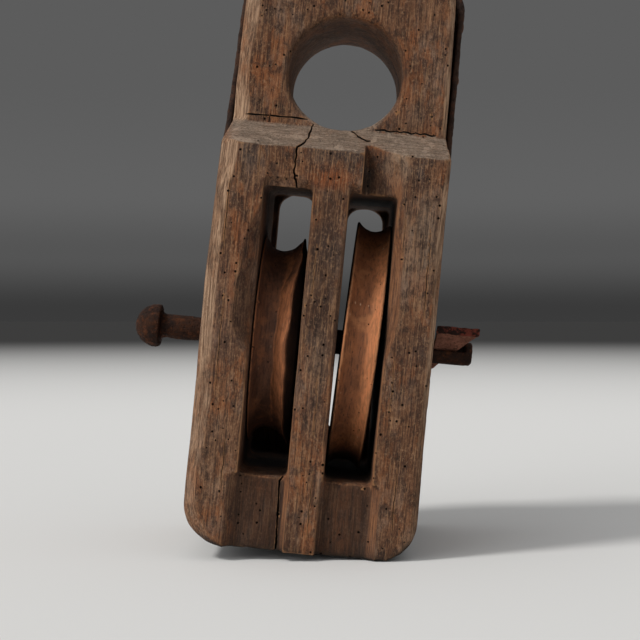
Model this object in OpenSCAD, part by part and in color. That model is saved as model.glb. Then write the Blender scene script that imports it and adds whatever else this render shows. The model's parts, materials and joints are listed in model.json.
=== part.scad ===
// Carved wooden double sheave block: one-piece shell, two wooden sheaves on an iron pin
// held by a forelock wedge, and an iron strap over the head.
// Frame: origin at the centre of the head hole, at mid-depth. +Z is up along the block,
// +X is along the pin towards the wedge, +Y is away from the front face.

/* [Block] */
// Distance of the left side from the partition's middle, at the pin
left_half_w = 113; // [110:0.5:116]
// Distance of the right side from the partition's middle, at the pin
right_half_w = 112; // [110:0.5:116]
// Depth from front face to back face
block_d = 256; // [256:1:264]
// Height of the head's top above the pin axis
head_top = 375; // [368:1:400]
// Distance of the block's bottom below the pin axis
bottom_drop = 202; // [185:1:220]
// Height of the shoulder's front edge above the pin axis
shoulder_z = 185; // [180:1:190]
// Rise of the sloping shoulder from its front edge to the head
shoulder_rise = 24; // [18:1:26]
// How far the head's faces are set back from the block's faces
head_setback = 42; // [30:1:48]
// Radius of the two bottom corners
bottom_round = 38; // [20:1:50]
// Radius of the head's two top corners
head_round = 30; // [15:1:38]

/* [Head hole] */
// Radius of the rope hole through the head
hole_r = 56; // [40:1:58]
// Height of the hole's centre above the pin axis
hole_z = 264; // [262:1:275]
// Distance of the hole's centre to the right of the partition's middle
hole_x = 4; // [0:1:6]
// Radius of the rounding at the hole's two mouths
hole_lip_r = 6; // [3:1:8]

/* [Slots] */
// Distance from the partition's middle to its left face
partition_left = 16.5; // [15:0.5:18]
// Distance from the partition's middle to its right face
partition_right = 19; // [18:0.5:20]
// Width of the left slot
left_slot_w = 47; // [46:0.1:48]
// Width of the right slot
right_slot_w = 46; // [46:0.1:47]
// Height of the slots' front lintels above the pin axis
slot_top = 146; // [142:1:152]
// Height of the left slot's ceiling at the back
left_rear_top = 155; // [150:1:158]
// Height of the right slot's ceiling at the back
right_rear_top = 147; // [143:1:153]
// Distance of the slots' floor below the pin axis
slot_floor = 131; // [130:1:136]
// Width of the lip that narrows each slot's outer side at the back
rear_lip_w = 6.5; // [3:0.5:8]
// Depth of that lip and of the sill below it, measured from the back face
rear_lip_d = 12; // [8:1:14]
// Distance of the rear sill's top below the pin axis
rear_sill = 98; // [80:1:112]
// Depth of the rope grooves below the slots on the front
rope_groove_d = 9; // [6:1:12]
// Depth of the rope grooves on the back, where a thinner sill has to hold
rear_groove_d = 4; // [3:0.5:5]
// Size of the rope-worn bevel on the front lintels
lintel_bevel = 8; // [4:1:10]

/* [Worn notch] */
// Distance of the notch's steep wall from the centreline
notch_x = 30; // [26:1:34]
// Depth of the notch at its steep wall
notch_d = 18; // [6:1:22]

/* [Left sheave] */
// Width of the left sheave
left_sheave_w = 44; // [38:0.5:44.5]
// Outer radius of the left sheave
left_sheave_r = 107; // [102:1:114]
// Radius at the bottom of its groove
left_groove_r = 91.5; // [88:0.5:96]
// How far its groove is worn towards the left cheek
left_groove_shift = 3; // [0:0.5:4]
// Radius of its worn bore
left_bore_r = 16; // [13.5:0.5:18]

/* [Right sheave] */
// Width of the right sheave
right_sheave_w = 35; // [30:0.5:35]
// Outer radius of the right sheave
right_sheave_r = 126.5; // [116:0.5:126.5]
// Radius at the bottom of its groove
right_groove_r = 118; // [108:0.5:118]
// Radius of its worn bore
right_bore_r = 14.4; // [14.4:0.1:16]
// Lean of the right sheave's top to the right
right_lean = 2.4; // [0:0.1:2.4]

/* [Pin] */
// Diameter of the pin
pin_d = 25.4; // [22:0.1:25.4]
// Position of the underside of the pin's head, from the partition's middle
pin_head_x = 162.7; // [140:0.1:165]
// Position of the pin's far end, from the partition's middle
pin_end_x = 159.8; // [158:0.1:170]
// Diameter of the pin's domed head
pin_head_d = 44.5; // [38:0.5:50]
// Thickness of the pin's head
pin_head_t = 26.4; // [20:0.1:30]
// Start of the wedge slot, from the partition's middle
pin_slot_x = 108; // [100:1:114]
// Length of the wedge slot along the pin
pin_slot_l = 44.5; // [43:0.5:46]
// Width of the wedge slot
pin_slot_w = 10; // [8:0.5:12]

/* [Wedge] */
// Thickness of the wedge
wedge_t = 6.6; // [5:0.1:7]
// Width of the wedge at its driven end
wedge_head_w = 42.6; // [36:0.1:44]
// Width of the wedge at its tip
wedge_tip_w = 3; // [2:0.5:5]
// Length of the wedge that stands out above the pin axis
wedge_above = 42; // [36:1:50]
// Length of the wedge below the pin axis
wedge_below = 30; // [26:1:40]
// Lean of the wedge from upright towards the front
wedge_lean = 56; // [0:1:60]

/* [Strap] */
// Thickness of the strap
strap_t = 6; // [4:0.5:7]
// Width of the strap
strap_w = 50; // [40:1:60]
// Radius of the strap's eyes round the pin
strap_eye_r = 30; // [26:1:40]

/* [Nails] */
// Radius of a strap nail's shank
nail_r = 2.5; // [2:0.1:3]
// Length of a leg nail in the wood
leg_nail_l = 40; // [25:1:45]
// Length of a crown nail in the wood
crown_nail_l = 42; // [30:1:45]

/* [Hidden] */
$fn = 96;

eps = 0.01;
past = 20;                        // how far a cutter runs past what it cuts
half_d = block_d / 2;
head_foot = shoulder_z + shoulder_rise;
head_half_d = half_d - head_setback;
left_x = -left_half_w;
right_x = right_half_w;
lean_z = 60;                      // height at which the left side starts to lean in
shoulder_in_left = 3.5;           // how far the left side has leaned in at the shoulder
foot_in_left = 9.5;               // the same at the foot of the head
top_in_left = 13.5;               // the same at the head's top
foot_in_right = 4;                // how far the right side steps in over the shoulder's rise
top_in_right = 7;                 // how far it has leaned in at the head's top
strap_in_left = 6.5;              // how far the strap's left leg has leaned in at its bend
strap_bend_z = 230;               // height of the bend in the strap's left leg
groove_slope = 9;                 // how far a rope groove's outer side slopes out over a cheek
groove_edge = 2;                  // the same over the partition
rope_edge_r = 5;                  // rounding of the slot floors' front edges
arch_r = 16;                      // rounding of the rear openings' top corners
sheave_room = 2;                  // room round the right sheave where its rim passes the rear lip
pin_r = pin_d / 2;
left_outer_x = -partition_left - left_slot_w;
right_outer_x = partition_right + right_slot_w;
bore_gap = 0.7;                   // gap round the pin in the wood
eye_gap = 1;                      // gap round the pin in the strap's eyes
sheave_edge = 1.2;                // bevel on the sheaves' rims
left_lip = 5;                     // mean thickness of the left sheave's rim lips
right_lip = 2;                    // thickness of the right sheave's rim lips
left_side_gap = 0.6;              // gap between the left sheave and the left cheek
left_hang_gap = 0.3;              // gap between the pin's top and the bore of the left sheave
right_hang_gap = 0.9;             // the same for the right sheave, whose bore is tilted
left_drop = left_bore_r - pin_r - left_hang_gap;
right_drop = right_bore_r - pin_r - right_hang_gap;
left_centre_x = left_outer_x + left_side_gap + left_sheave_w / 2;
right_centre_x = partition_right + right_slot_w / 2;
dome_edge = 4;                    // height of the rim of the pin's head below its dome
pin_tip = 1.5;                    // bevel at the pin's far end
wedge_gap = 1.6;                  // gap between the wedge and the strap
nail_head_r = 7;
nail_head_h = 1.6;
nail_top_r = 2.3;                 // radius of the flat on top of a nail's head
nail_stand = 0.4;                 // how far a leg nail's head stands off the strap
nail_gap = 0.05;                  // gap round a nail's shank, for the tapered hole it was driven in
leg_nail_z = [70, 140, 280, 335]; // heights of the leg nails above the pin axis
crown_nail_x = 40;                // distance of the crown nails from the partition's middle
wood = "#7a5c44";
dark_wood = "#6b4a33";
orange_wood = "#9a6a42";
rust = "#5a3526";
dark_rust = "#46332b";

// Puts geometry given from the pin axis and the partition's middle into the part's frame.
module from_pin() {
    translate([-hole_x, 0, -hole_z]) children();
}

// A shape drawn as x, z and pulled through a depth of d about mid-depth.
module along_y(d) {
    rotate([90, 0, 0]) linear_extrude(d, center = true) children();
}

// A shape drawn as y, z and pulled from x0 to x1.
module along_x(x0, x1) {
    translate([x0, 0, 0]) rotate([90, 0, 90]) linear_extrude(x1 - x0) children();
}

// A round bar along +X from x0 to x1, on the pin axis.
module bar_x(r, x0, x1) {
    translate([x0, 0, 0]) rotate([0, 90, 0]) cylinder(r = r, h = x1 - x0);
}

// The corner that is cut away to leave a rounding of radius r, with the corner at the origin
// and the material towards +x, +y.
module corner_waste(r) {
    difference() {
        translate([-past, -past]) square(r + past);
        translate([r, r]) circle(r);
        translate([r, -2 * past]) square([2 * past, 2 * past + r]);
    }
}

// Waste at the two top corners of a shape that ends at x0 and x1 at height z.
module top_corners(x0, x1, z, r) {
    translate([x0, z]) mirror([0, 1]) corner_waste(r);
    translate([x1, z]) rotate(180) corner_waste(r);
}

// Front view of the block.
module block_view() {
    difference() {
        polygon([
            [left_x, -bottom_drop],
            [right_x, -bottom_drop],
            [right_x, shoulder_z],
            [right_x - foot_in_right, head_foot],
            [right_x - top_in_right, head_top],
            [left_x + top_in_left, head_top],
            [left_x + foot_in_left, head_foot],
            [left_x + shoulder_in_left, shoulder_z],
            [left_x, lean_z]
        ]);
        top_corners(left_x + top_in_left, right_x - top_in_right, head_top, head_round);
        translate([left_x, -bottom_drop]) corner_waste(bottom_round);
        translate([right_x, -bottom_drop]) mirror([1, 0]) corner_waste(bottom_round);
    }
}

// Front view of what the strap goes round, grown outwards by g. Its right leg stays upright.
module strap_view(g) {
    difference() {
        polygon([
            [left_x - g, -bottom_drop],
            [right_x + g, -bottom_drop],
            [right_x + g, head_top + g],
            [left_x + top_in_left - g, head_top + g],
            [left_x + top_in_left - g, head_top],
            [left_x + strap_in_left - g, strap_bend_z],
            [left_x + shoulder_in_left - g, shoulder_z],
            [left_x - g, lean_z]
        ]);
        top_corners(left_x + top_in_left - g, right_x + g, head_top + g, head_round + g);
    }
}

// Side view of the block: full depth up to the shoulders, then the set-back head.
module side_view() {
    polygon([
        [-half_d, -bottom_drop - eps],
        [half_d, -bottom_drop - eps],
        [half_d, shoulder_z],
        [head_half_d, head_foot],
        [head_half_d, head_top + eps],
        [-head_half_d, head_top + eps],
        [-head_half_d, head_foot],
        [-half_d, shoulder_z]
    ]);
}

// One sheave slot from x0 to x1. Its ceiling climbs from the worn front lintel to rear_top.
module slot_space(x0, x1, rear_top) {
    front = -half_d;
    back = half_d - rear_lip_d;
    along_x(x0, x1) polygon([
        [front - past, -slot_floor],
        [back, -slot_floor],
        [back, rear_top],
        [front + lintel_bevel, slot_top],
        [front - past, slot_top + lintel_bevel + past]
    ]);
}

// The opening at the back of a slot, with rounded top corners.
module rear_opening(x0, x1, top) {
    translate([0, half_d, 0]) along_y(2 * rear_lip_d + eps) difference() {
        translate([x0, -rear_sill]) square([x1 - x0, top + rear_sill]);
        top_corners(x0, x1, top, arch_r);
    }
}

// Height of the edge where a rope leaves the slot, on the front (side = -1) or the back.
function edge_drop(side) = side < 0 ? slot_floor : rear_sill;

// Depth of the groove there.
function groove_depth(side) = side < 0 ? rope_groove_d : rear_groove_d;

// The rope groove below a slot, on the front (side = -1) or the back (side = 1).
// out0 and out1 are how far its sides slope outwards.
module rope_groove(x0, x1, out0, out1, side) {
    face = side * half_d;
    floor_y = face - side * groove_depth(side);
    translate([0, 0, -bottom_drop - past])
        linear_extrude(bottom_drop - edge_drop(side) + past + eps) polygon([
            [x0, floor_y],
            [x1, floor_y],
            [x1 + out1, face + side * eps],
            [x1 + out1, face + side * past],
            [x0 - out0, face + side * past],
            [x0 - out0, face + side * eps]
        ]);
}

// The rounded front edge that a rope has worn between a slot's floor and its groove.
module rope_edge(x0, x1) {
    along_x(x0, x1) translate([-half_d + rope_groove_d, -slot_floor]) mirror([0, 1])
        corner_waste(rope_edge_r);
}

module both_slots() {
    slot_space(left_outer_x, -partition_left, left_rear_top);
    slot_space(partition_right, right_outer_x, right_rear_top);
    rear_opening(left_outer_x + rear_lip_w, -partition_left, left_rear_top);
    rear_opening(partition_right, right_outer_x - rear_lip_w, right_rear_top);
    rope_edge(left_outer_x, -partition_left);
    rope_edge(partition_right, right_outer_x);
    for (side = [-1, 1]) {
        rope_groove(left_outer_x, -partition_left, groove_slope, groove_edge, side);
        rope_groove(partition_right, right_outer_x, groove_edge, groove_slope, side);
    }
    bar_x(right_sheave_r + sheave_room, partition_right, right_outer_x);
}

// The worn notch over the right slot: steep on the partition's side, running out to the right.
module worn_notch() {
    translate([0, 0, slot_top - eps]) linear_extrude(shoulder_rise + shoulder_z - slot_top)
        polygon([
            [notch_x, -half_d + notch_d],
            [notch_x, -half_d - past],
            [right_outer_x, -half_d - past],
            [right_outer_x, -half_d]
        ]);
}

// The rope hole with its rounded mouths, centred on the frame's origin.
module head_hole() {
    rotate([90, 0, 0]) cylinder(r = hole_r, h = block_d, center = true);
    for (side = [-1, 1])
        rotate([side * 90, 0, 0]) translate([0, 0, head_half_d - hole_lip_r])
            rotate_extrude() difference() {
                square([hole_r + hole_lip_r, hole_lip_r + eps]);
                translate([hole_r + hole_lip_r, 0]) circle(hole_lip_r);
            }
}

module block_body() {
    color(wood) difference() {
        from_pin() difference() {
            intersection() {
                along_y(block_d) block_view();
                along_x(left_x - past, right_x + past) side_view();
            }
            both_slots();
            worn_notch();
            bar_x(pin_r + bore_gap, left_x - past, right_x + past);
            leg_nail_places() nail_hole(leg_nail_l);
            crown_nail_places() nail_hole(crown_nail_l);
        }
        head_hole();
    }
}

// A turned wooden sheave on the X axis. Its round-bottomed groove sits shift to the left.
module sheave(w, r, groove_bottom, groove_r, bore_r, shift = 0) {
    rotate([0, 90, 0]) rotate_extrude($fn = 180) difference() {
        translate([bore_r, -w / 2]) square([r - bore_r, w]);
        translate([groove_bottom + groove_r, -shift]) circle(groove_r);
        for (side = [-1, 1])
            translate([r, side * w / 2]) rotate(45) square(sheave_edge * sqrt(2), center = true);
    }
}

// Radius of a groove that is half_open wide at the rim and deep mm deep.
function groove_radius(half_open, deep) = (half_open * half_open + deep * deep) / (2 * deep);

module left_sheave() {
    deep = left_sheave_r - left_groove_r;
    color(dark_wood) from_pin() translate([left_centre_x, 0, -left_drop])
        sheave(left_sheave_w, left_sheave_r, left_groove_r,
               groove_radius(left_sheave_w / 2 - left_lip, deep), left_bore_r, left_groove_shift);
}

module right_sheave() {
    deep = right_sheave_r - right_groove_r;
    color(orange_wood) from_pin() translate([right_centre_x, 0, -right_drop])
        rotate([0, right_lean, 0])
            sheave(right_sheave_w, right_sheave_r, right_groove_r,
                   groove_radius(right_sheave_w / 2 - right_lip, deep), right_bore_r);
}

// Turns geometry drawn with the wedge upright to the wedge's lean about the pin axis.
module wedge_way() {
    rotate([wedge_lean, 0, 0]) children();
}

module sheave_pin() {
    dome_h = pin_head_t - dome_edge;
    head_r = pin_head_d / 2;
    dome_r = (head_r * head_r + dome_h * dome_h) / (2 * dome_h);
    color(rust) from_pin() difference() {
        union() {
            bar_x(pin_r, -pin_head_x - dome_edge / 2, pin_end_x - pin_tip);
            translate([pin_end_x - pin_tip, 0, 0]) rotate([0, 90, 0])
                cylinder(r1 = pin_r, r2 = pin_r - pin_tip, h = pin_tip);
            translate([-pin_head_x, 0, 0]) rotate([0, -90, 0]) intersection() {
                cylinder(r = head_r, h = pin_head_t + eps);
                translate([0, 0, pin_head_t - dome_r]) sphere(dome_r);
            }
        }
        wedge_way() translate([pin_slot_x, -pin_slot_w / 2, -pin_d])
            cube([pin_slot_l, pin_slot_w, 2 * pin_d]);
    }
}

module forelock_wedge() {
    x0 = right_x + strap_t + wedge_gap;
    color(dark_rust) from_pin() wedge_way() along_y(wedge_t) polygon([
        [x0, -wedge_below],
        [x0 + wedge_tip_w, -wedge_below],
        [x0 + wedge_head_w, wedge_above],
        [x0, wedge_above]
    ]);
}

// The strap is the band between two front views, cut to its width and to its eyes.
module iron_strap() {
    color(dark_rust) from_pin() difference() {
        intersection() {
            along_y(2 * strap_eye_r + past) difference() {
                strap_view(strap_t);
                strap_view(0);
            }
            along_x(left_x - past, right_x + past) union() {
                translate([-strap_w / 2, 0]) square([strap_w, head_top + strap_t + past]);
                circle(strap_eye_r);
            }
        }
        bar_x(pin_r + eye_gap, left_x - past, right_x + past);
        leg_nail_places() nail_hole(leg_nail_l);
        crown_nail_places() nail_hole(crown_nail_l);
    }
}

// A forged nail along -Z with its head standing on the plane z = 0.
module nail(shank) {
    translate([0, 0, -shank]) cylinder(r = nail_r, h = shank + eps);
    cylinder(r1 = nail_head_r, r2 = nail_top_r, h = nail_head_h);
}

// The hole that a nail of that length was driven into, run out through the strap.
module nail_hole(shank) {
    cylinder(r = nail_r + nail_gap, h = 2 * (shank + nail_gap), center = true);
}

// Distance of the left leg's outer face from the partition's middle at a height where it leans.
function strap_side(z) = left_half_w + strap_t - lookup(z, [
    [lean_z, 0],
    [shoulder_z, shoulder_in_left],
    [strap_bend_z, strap_in_left],
    [head_top, top_in_left]
]);

// Where the leg nails go: +Z points out of the strap, and the origin is on its outer face.
module leg_nail_places() {
    for (z = leg_nail_z) {
        translate([-strap_side(z) - nail_stand, 0, z]) rotate([0, -90, 0]) children();
        translate([right_x + strap_t + nail_stand, 0, z]) rotate([0, 90, 0]) children();
    }
}

// Where the crown nails go, on top of the strap.
module crown_nail_places() {
    for (x = [-crown_nail_x, crown_nail_x]) translate([x, 0, head_top + strap_t]) children();
}

module leg_nails() {
    color(rust) from_pin() leg_nail_places() nail(leg_nail_l);
}

module crown_nails() {
    color(rust) from_pin() crown_nail_places() nail(crown_nail_l);
}

block_body();
left_sheave();
right_sheave();
sheave_pin();
forelock_wedge();
iron_strap();
leg_nails();
crown_nails();
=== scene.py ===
"""Looks of an old carved double sheave block: weathered wood, worn sheaves and rusty forged iron.

Every visible piece is grown from its CAD node: the node's solid is remeshed finely, its edges are
worn round and its surface gets grain or rust. Cracks, saw cuts and woodworm holes are cut out of the
wooden pieces. Lengths are in metres in the frame of the CAD model, unless a comment says millimetres.
"""

import json
import math
import random

import bmesh
import bpy
import numpy as np
from mathutils import Matrix, Vector

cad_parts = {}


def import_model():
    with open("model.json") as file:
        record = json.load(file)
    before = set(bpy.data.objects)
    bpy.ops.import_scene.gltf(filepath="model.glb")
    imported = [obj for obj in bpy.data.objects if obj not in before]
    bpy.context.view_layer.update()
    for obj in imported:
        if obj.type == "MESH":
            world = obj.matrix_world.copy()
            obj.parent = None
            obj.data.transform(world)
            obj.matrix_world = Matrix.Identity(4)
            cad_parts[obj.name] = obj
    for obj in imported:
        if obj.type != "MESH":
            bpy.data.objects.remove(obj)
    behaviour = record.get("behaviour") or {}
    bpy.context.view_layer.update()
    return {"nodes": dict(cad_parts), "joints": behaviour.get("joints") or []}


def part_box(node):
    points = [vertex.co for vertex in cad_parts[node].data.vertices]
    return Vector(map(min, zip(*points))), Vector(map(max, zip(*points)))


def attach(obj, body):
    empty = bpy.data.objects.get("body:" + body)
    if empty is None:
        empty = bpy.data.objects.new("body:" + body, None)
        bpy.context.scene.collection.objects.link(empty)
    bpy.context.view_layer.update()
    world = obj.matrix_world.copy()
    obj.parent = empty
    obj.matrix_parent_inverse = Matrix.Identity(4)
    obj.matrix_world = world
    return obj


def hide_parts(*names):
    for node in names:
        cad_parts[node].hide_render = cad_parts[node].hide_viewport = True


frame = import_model()

# ---------------------------------------------------------------- places on the block

MM = 0.001

joints = {joint["name"]: joint for joint in frame["joints"]}
block_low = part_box("block_body")[0]
pin_low, pin_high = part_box("sheave_pin")

CENTRE_X = -4 * MM                # the partition's middle
PIN_Z = (pin_low.z + pin_high.z) / 2
FRONT_Y = block_low.y
INTO_FRONT = np.array([0.0, 1.0, 0.0])
LEFT_SLOT = (-63.5, -16.5)        # walls of the left slot, in mm from the partition's middle
RIGHT_SLOT = (19, 65)             # walls of the right slot
SLOT_TOP = 140                    # where the slots' worn edges end below the lintels, in mm above the pin
LEFT_SHEAVE = np.array(joints["left_sheave_spin"]["pos_m"])
WEDGE_UP = np.array(joints["wedge_draw"]["axis"])
WEDGE_TOP = 42 * MM               # the wedge's driven end, along WEDGE_UP from the pin axis


def mm(*lengths):
    """Lengths given in millimetres, in metres."""
    return tuple(length * MM for length in lengths)


def x_at(x):
    """The frame's X for a place given in millimetres to the right of the partition's middle."""
    return CENTRE_X + x * MM


def y_at(y):
    """The frame's Y for a depth given in millimetres behind the front face."""
    return FRONT_Y + y * MM


def z_at(z):
    """The frame's Z for a height given in millimetres above the pin axis."""
    return PIN_Z + z * MM


def at(x, z, y=0.0):
    """A point given in millimetres from the partition's middle, the pin axis and the front face."""
    return np.array([x_at(x), y_at(y), z_at(z)])


def measured(p):
    """x, y and z of points p, in the millimetres that x_at, y_at and z_at take."""
    return (p[..., 0] - CENTRE_X) / MM, (p[..., 1] - FRONT_Y) / MM, (p[..., 2] - PIN_Z) / MM


# ---------------------------------------------------------------- noise

HASH_STEPS = np.array([73856093, 19349663, 83492791])


def hashed(cell, seed):
    """A repeatable number in -1..1 for each row of whole numbers. Large factors scatter its bits."""
    h = (cell * HASH_STEPS).sum(axis=1) + seed * 40503
    h = (h ^ (h >> 13)) * 1274126177 & 0xFFFFFFFF
    h = (h ^ (h >> 15)) * 2246822519 & 0xFFFFFFFF
    return ((h ^ (h >> 13)) & 0xFFFF) / 32767.5 - 1


def noise(p, scale, seed):
    """Smooth noise in -1..1 at points p. scale is the size of a lump along x, y and z."""
    q = p / np.asarray(scale, float)
    cell = np.floor(q).astype(np.int64)
    t = q - cell
    t = t * t * (3 - 2 * t)
    total = np.zeros(len(p))
    for corner in range(8):
        step = np.array([corner & 1, corner >> 1 & 1, corner >> 2 & 1])
        weight = np.prod(np.where(step == 1, t, 1 - t), axis=1)
        total += weight * hashed(cell + step, seed)
    return total


def fractal(p, scale, seed, octaves=3):
    """Noise summed over octaves, each half the size and half the strength of the last."""
    scale = np.asarray(scale, float)
    return sum(noise(p, scale / 2**k, seed + 17 * k) / 2**k for k in range(octaves))


def ramp(x, low, high):
    """0 below low, 1 above high, smooth between."""
    t = np.clip((x - low) / (high - low), 0, 1)
    return t * t * (3 - 2 * t)


def fade(x, low, high):
    """1 below low, 0 above high, smooth between."""
    return ramp(-x, -high, -low)


def band(x, low, full_from, full_to, high):
    """1 from full_from to full_to, falling smoothly to 0 at low and at high."""
    return ramp(x, low, full_from) * fade(x, full_to, high)


# ---------------------------------------------------------------- meshes

SHARP_ANGLE = math.radians(50)    # creases sharper than this stay sharp


def read_points(mesh):
    co = np.empty(len(mesh.vertices) * 3, np.float32)
    mesh.vertices.foreach_get("co", co)
    return co.reshape(-1, 3).astype(float)


def read_normals(mesh):
    co = np.empty(len(mesh.vertices) * 3, np.float32)
    mesh.vertex_normals.foreach_get("vector", co)
    return co.reshape(-1, 3).astype(float)


def write_points(mesh, points):
    mesh.vertices.foreach_set("co", points.astype(np.float32).ravel())
    mesh.update()


def baked(obj):
    """Applies obj's modifiers."""
    graph = bpy.context.evaluated_depsgraph_get()
    mesh = bpy.data.meshes.new_from_object(obj.evaluated_get(graph), depsgraph=graph)
    obj.modifiers.clear()
    old = obj.data
    obj.data = mesh
    bpy.data.meshes.remove(old)
    return obj


def smoothing(obj, rounds):
    """A smoothing modifier of so many rounds."""
    smooth = obj.modifiers.new("worn", "SMOOTH")
    smooth.factor = 0.5
    smooth.iterations = rounds
    return smooth


def fine_copy(node, name, voxel, rounds, shape=None):
    """A fine closed copy of a CAD node, with its edges worn round by so many smoothing rounds.

    shape(points) may move the points before that.
    """
    obj = bpy.data.objects.new(name, frame["nodes"][node].data.copy())
    bpy.context.scene.collection.objects.link(obj)
    remesh = obj.modifiers.new("fine", "REMESH")
    remesh.mode = "VOXEL"
    remesh.voxel_size = voxel
    baked(obj)
    if shape:
        write_points(obj.data, shape(read_points(obj.data)))
    smoothing(obj, rounds)
    return baked(obj)


def soften(obj, weights, rounds, levels=8):
    """Wears edges rounder where weights (one per vertex) are high."""
    group = obj.vertex_groups.new(name="wear")
    wear = np.round(np.clip(weights, 0, 1) * levels).astype(int)
    for level in range(1, levels + 1):
        group.add(np.flatnonzero(wear == level).tolist(), level / levels, "REPLACE")
    smoothing(obj, rounds).vertex_group = "wear"
    baked(obj)
    obj.vertex_groups.clear()


def push(obj, amount):
    """Moves each vertex along its normal by amount(points, normals)."""
    points, normals = read_points(obj.data), read_normals(obj.data)
    write_points(obj.data, points + normals * amount(points, normals)[:, None])


def cut(obj, cutter):
    """Takes a cutter's volume out of obj and deletes the cutter."""
    boolean = obj.modifiers.new("cut", "BOOLEAN")
    boolean.operation = "DIFFERENCE"
    boolean.solver = "MANIFOLD"
    boolean.object = cutter
    baked(obj)
    bpy.data.objects.remove(cutter)


def shaded(obj):
    """Smooth shading that keeps sharp creases."""
    mesh = obj.data
    mesh.polygons.foreach_set("use_smooth", [True] * len(mesh.polygons))
    mesh.set_sharp_from_angle(angle=SHARP_ANGLE)
    mesh.update()


def mesh_object(name, verts, faces):
    mesh = bpy.data.meshes.new(name)
    mesh.from_pydata([tuple(v) for v in verts], [], faces)
    mesh.validate()
    shell = bmesh.new()
    shell.from_mesh(mesh)
    bmesh.ops.recalc_face_normals(shell, faces=shell.faces)
    shell.to_mesh(mesh)
    shell.free()
    obj = bpy.data.objects.new(name, mesh)
    bpy.context.scene.collection.objects.link(obj)
    return obj


def joined(name, parts):
    """One mesh object from several parts, each given as (points, faces)."""
    verts, faces = [], []
    for points, sides in parts:
        faces += [tuple(len(verts) + i for i in side) for side in sides]
        verts += points
    return mesh_object(name, verts, faces)


# ---------------------------------------------------------------- cutters

CUTTER_START = 4 * MM             # how far in front of the surface a crack's cutter starts
WORM_START = 1.5 * MM             # and a worm hole's
WORM_SIDES = 9                    # the sides of the rod that cuts a worm hole
WORM_TILT = 0.3                   # how far a worm hole may lean off the surface's normal
WORM_DEPTH = (5, 9)               # in mm


def jagged(path, step, wander, inward, seed):
    """A polyline through path's points, resampled at step and made uneven within the surface."""
    rng = random.Random(seed)
    out = []
    for a, b in zip(path, path[1:]):
        count = max(1, round(float(np.linalg.norm(b - a)) / step))
        for i in range(count):
            shake = np.array([rng.uniform(-1, 1) * wander for _ in range(3)])
            out.append(a + (b - a) * i / count + shake * (1 - np.abs(inward)))
    return out + [path[-1]]


def blade(path, inward, width, depth):
    """The points and faces of a closed wedge along path that cuts a crack.

    The path lies on the wood's surface and inward points into the wood. width(t) and depth(t) are
    the crack's at the surface, for t from 0 at the path's start to 1 at its end.
    """
    verts, faces = [], []
    last = len(path) - 1
    for i, p in enumerate(path):
        side = np.cross(path[min(i + 1, last)] - path[max(i - 1, 0)], inward)
        side /= max(float(np.linalg.norm(side)), 1e-9)
        deep = depth(i / last)
        mouth = width(i / last) / 2 * (1 + CUTTER_START / deep)
        back = inward * CUTTER_START
        verts += [p + side * mouth - back, p - side * mouth - back, p + inward * deep]
    for i in range(last):
        a, b = 3 * i, 3 * i + 3
        faces += [(a, a + 1, b + 1, b), (a + 1, a + 2, b + 2, b + 1), (a + 2, a, b, b + 2)]
    faces += [(0, 2, 1), (3 * last, 3 * last + 1, 3 * last + 2)]
    return verts, faces


def worm_hole(point, inward, radius, depth):
    """The points and faces of a short round rod that cuts one worm hole."""
    turn = Vector(inward).to_track_quat("Z", "Y")
    ring = range(WORM_SIDES)
    verts = []
    for z in (-WORM_START, depth):
        for k in ring:
            angle = math.tau * k / WORM_SIDES
            offset = turn @ Vector((radius * math.cos(angle), radius * math.sin(angle), z))
            verts.append(np.array(point) + np.array(offset))
    faces = [tuple(reversed(ring)), tuple(WORM_SIDES + k for k in ring)]
    for k in ring:
        n = (k + 1) % WORM_SIDES
        faces.append((k, n, WORM_SIDES + n, WORM_SIDES + k))
    return verts, faces


def cut_worm_holes(obj, near, count, seed, radius=mm(0.7, 1.3), gap=5 * MM):
    """Cuts worm holes at count random vertices of obj for which near(point, normal) is true."""
    rng = random.Random(seed)
    points, normals = read_points(obj.data), read_normals(obj.data)
    order = list(range(len(points)))
    rng.shuffle(order)
    taken, holes = [], []
    for i in order:
        if len(holes) >= count:
            break
        p, n = points[i], normals[i]
        if not near(p, n) or any(np.linalg.norm(p - q) < gap for q in taken):
            continue
        tilt = np.array([rng.uniform(-WORM_TILT, WORM_TILT) for _ in range(3)])
        holes.append(worm_hole(p, tuple(tilt - n), rng.uniform(*radius), rng.uniform(*WORM_DEPTH) * MM))
        taken.append(p)
    cut(obj, joined(obj.name + "_worm", holes))


def on_front(p, n):
    """True on the front face of the block."""
    return n[1] < -0.8 and p[1] < y_at(60)


def behind_slots(p, n):
    """True on the sides, the back and the ends, away from the thin wood round the slots."""
    x, _, z = measured(p)
    return n[1] > -0.5 and (abs(x) > 78 or z > 175 or z < -150)


def off_flat_faces(p, n):
    """True on a sheave's rim, and not on the flat faces that run along the slot."""
    return abs(n[0]) < 0.7


# ---------------------------------------------------------------- material building


def rgb(r, g, b):
    """A colour given as 0..255 screen values."""
    def linear(v):
        v /= 255
        return v / 12.92 if v <= 0.04045 else ((v + 0.055) / 1.055) ** 2.4
    return (linear(r), linear(g), linear(b), 1.0)


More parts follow.
